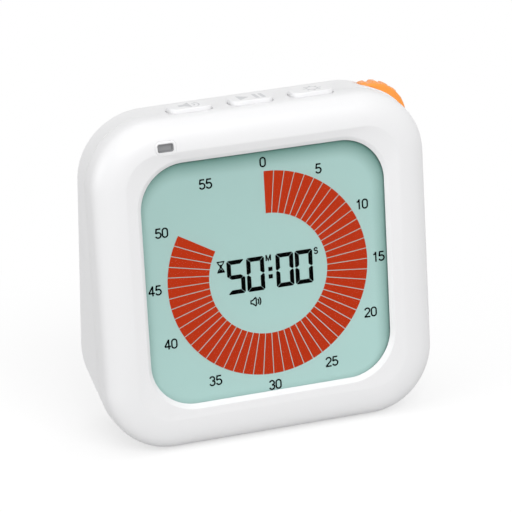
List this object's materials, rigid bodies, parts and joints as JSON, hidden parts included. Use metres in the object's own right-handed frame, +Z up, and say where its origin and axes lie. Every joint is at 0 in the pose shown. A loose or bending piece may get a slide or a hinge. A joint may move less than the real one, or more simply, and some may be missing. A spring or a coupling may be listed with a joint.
{
  "type": "visual countdown timer",
  "caption": "Desk timer with a rounded white case, a square display with a red countdown ring, press keys on top, a thumb wheel at the corner and a battery bay behind.",
  "frame": {"origin": "on the surface that the timer stands on, under the middle of its box", "axes": "+X to the right seen from the display side, +Y from the display to the back, +Z up"},
  "size_m": [0.09, 0.0364, 0.089],
  "materials": {
    "white_abs": "fine moulded satin gloss",
    "white_key": "moulded satin gloss",
    "orange_abs": "moulded satin",
    "clear_sheet": "clear polished acrylic",
    "smoke_lens": "smoke grey moulded",
    "red_ink": "opaque display segments",
    "teal_film": "matt polariser film",
    "display_glass": "polished float glass",
    "white_frame": "moulded",
    "diffuser_film": "matt film",
    "light_guide": "polished acrylic",
    "black_rubber": "matt",
    "grey_rubber": "matt",
    "green_board": "solder mask",
    "black_epoxy": "moulded epoxy",
    "tan_ceramic": "fired",
    "led_body": "clear yellow gel on white",
    "ivory_nylon": "moulded nylon",
    "steel": "plated",
    "speaker_paper": "pressed paper cone",
    "magnet": "nickel plated",
    "cell_wrap": "printed film over a can",
    "wire": "extruded",
    "ribbon": "extruded"
  },
  "bodies": {
    "case": {"front_shell": "white_abs", "rear_shell": "white_abs", "window_lens": "clear_sheet", "indicator_lens": "smoke_lens", "display_segments": "red_ink", "display_front_film": "teal_film", "display_front_glass": "display_glass", "display_rear_glass": "display_glass", "display_rear_film": "teal_film", "display_frame": "white_frame", "contact_strip": "black_rubber", "backlight_diffuser": "diffuser_film", "backlight_guide": "light_guide", "backlight_reflector": "diffuser_film", "backlight_leds": "led_body", "main_board": "green_board", "controller_chip": "black_epoxy", "board_components": "tan_ceramic", "indicator_led": "led_body", "wire_connectors": "ivory_nylon", "key_board": "green_board", "key_switches": "black_epoxy", "encoder_case": "black_epoxy", "encoder_board": "green_board", "speaker_frame": "steel", "speaker_cone": "speaker_paper", "speaker_magnet": "magnet", "battery_cells": "cell_wrap", "cell_springs": "steel", "cell_plates": "steel", "case_screws": "steel", "board_screws": "steel", "key_board_screws": "steel", "encoder_screws": "steel", "foot_pads": "grey_rubber", "battery_leads": "wire", "speaker_leads": "wire", "key_ribbon": "ribbon", "encoder_ribbon": "ribbon"},
    "sound_button": {"sound_key": "white_key", "sound_plunger": "black_epoxy"},
    "start_button": {"start_key": "white_key", "start_plunger": "black_epoxy"},
    "light_button": {"light_key": "white_key", "light_plunger": "black_epoxy"},
    "dial": {"thumb_wheel": "orange_abs", "wheel_shaft": "steel"},
    "battery_cover": {"battery_door": "white_abs"}
  },
  "joints": [
    {"name": "sound_press", "type": "slide", "parent": "case", "child": "sound_button", "axis": [0, 0, -1], "range_m": [0, 0.0005], "stiffness_N_per_m": 800, "springref_m": -0.0005},
    {"name": "start_press", "type": "slide", "parent": "case", "child": "start_button", "axis": [0, 0, -1], "range_m": [0, 0.0005], "stiffness_N_per_m": 800, "springref_m": -0.0005},
    {"name": "light_press", "type": "slide", "parent": "case", "child": "light_button", "axis": [0, 0, -1], "range_m": [0, 0.0005], "stiffness_N_per_m": 800, "springref_m": -0.0005},
    {"name": "dial_turn", "type": "hinge", "parent": "case", "child": "dial", "pos_m": [0.0351, -0.0019, 0.0773], "axis": [0, 1, 0], "continuous": true},
    {"name": "cover_tip", "type": "hinge", "parent": "case", "child": "battery_cover", "pos_m": [0, 0.01684, 0.00821], "axis": [-1, 0, 0], "range_deg": [0, 75]}
  ]
}
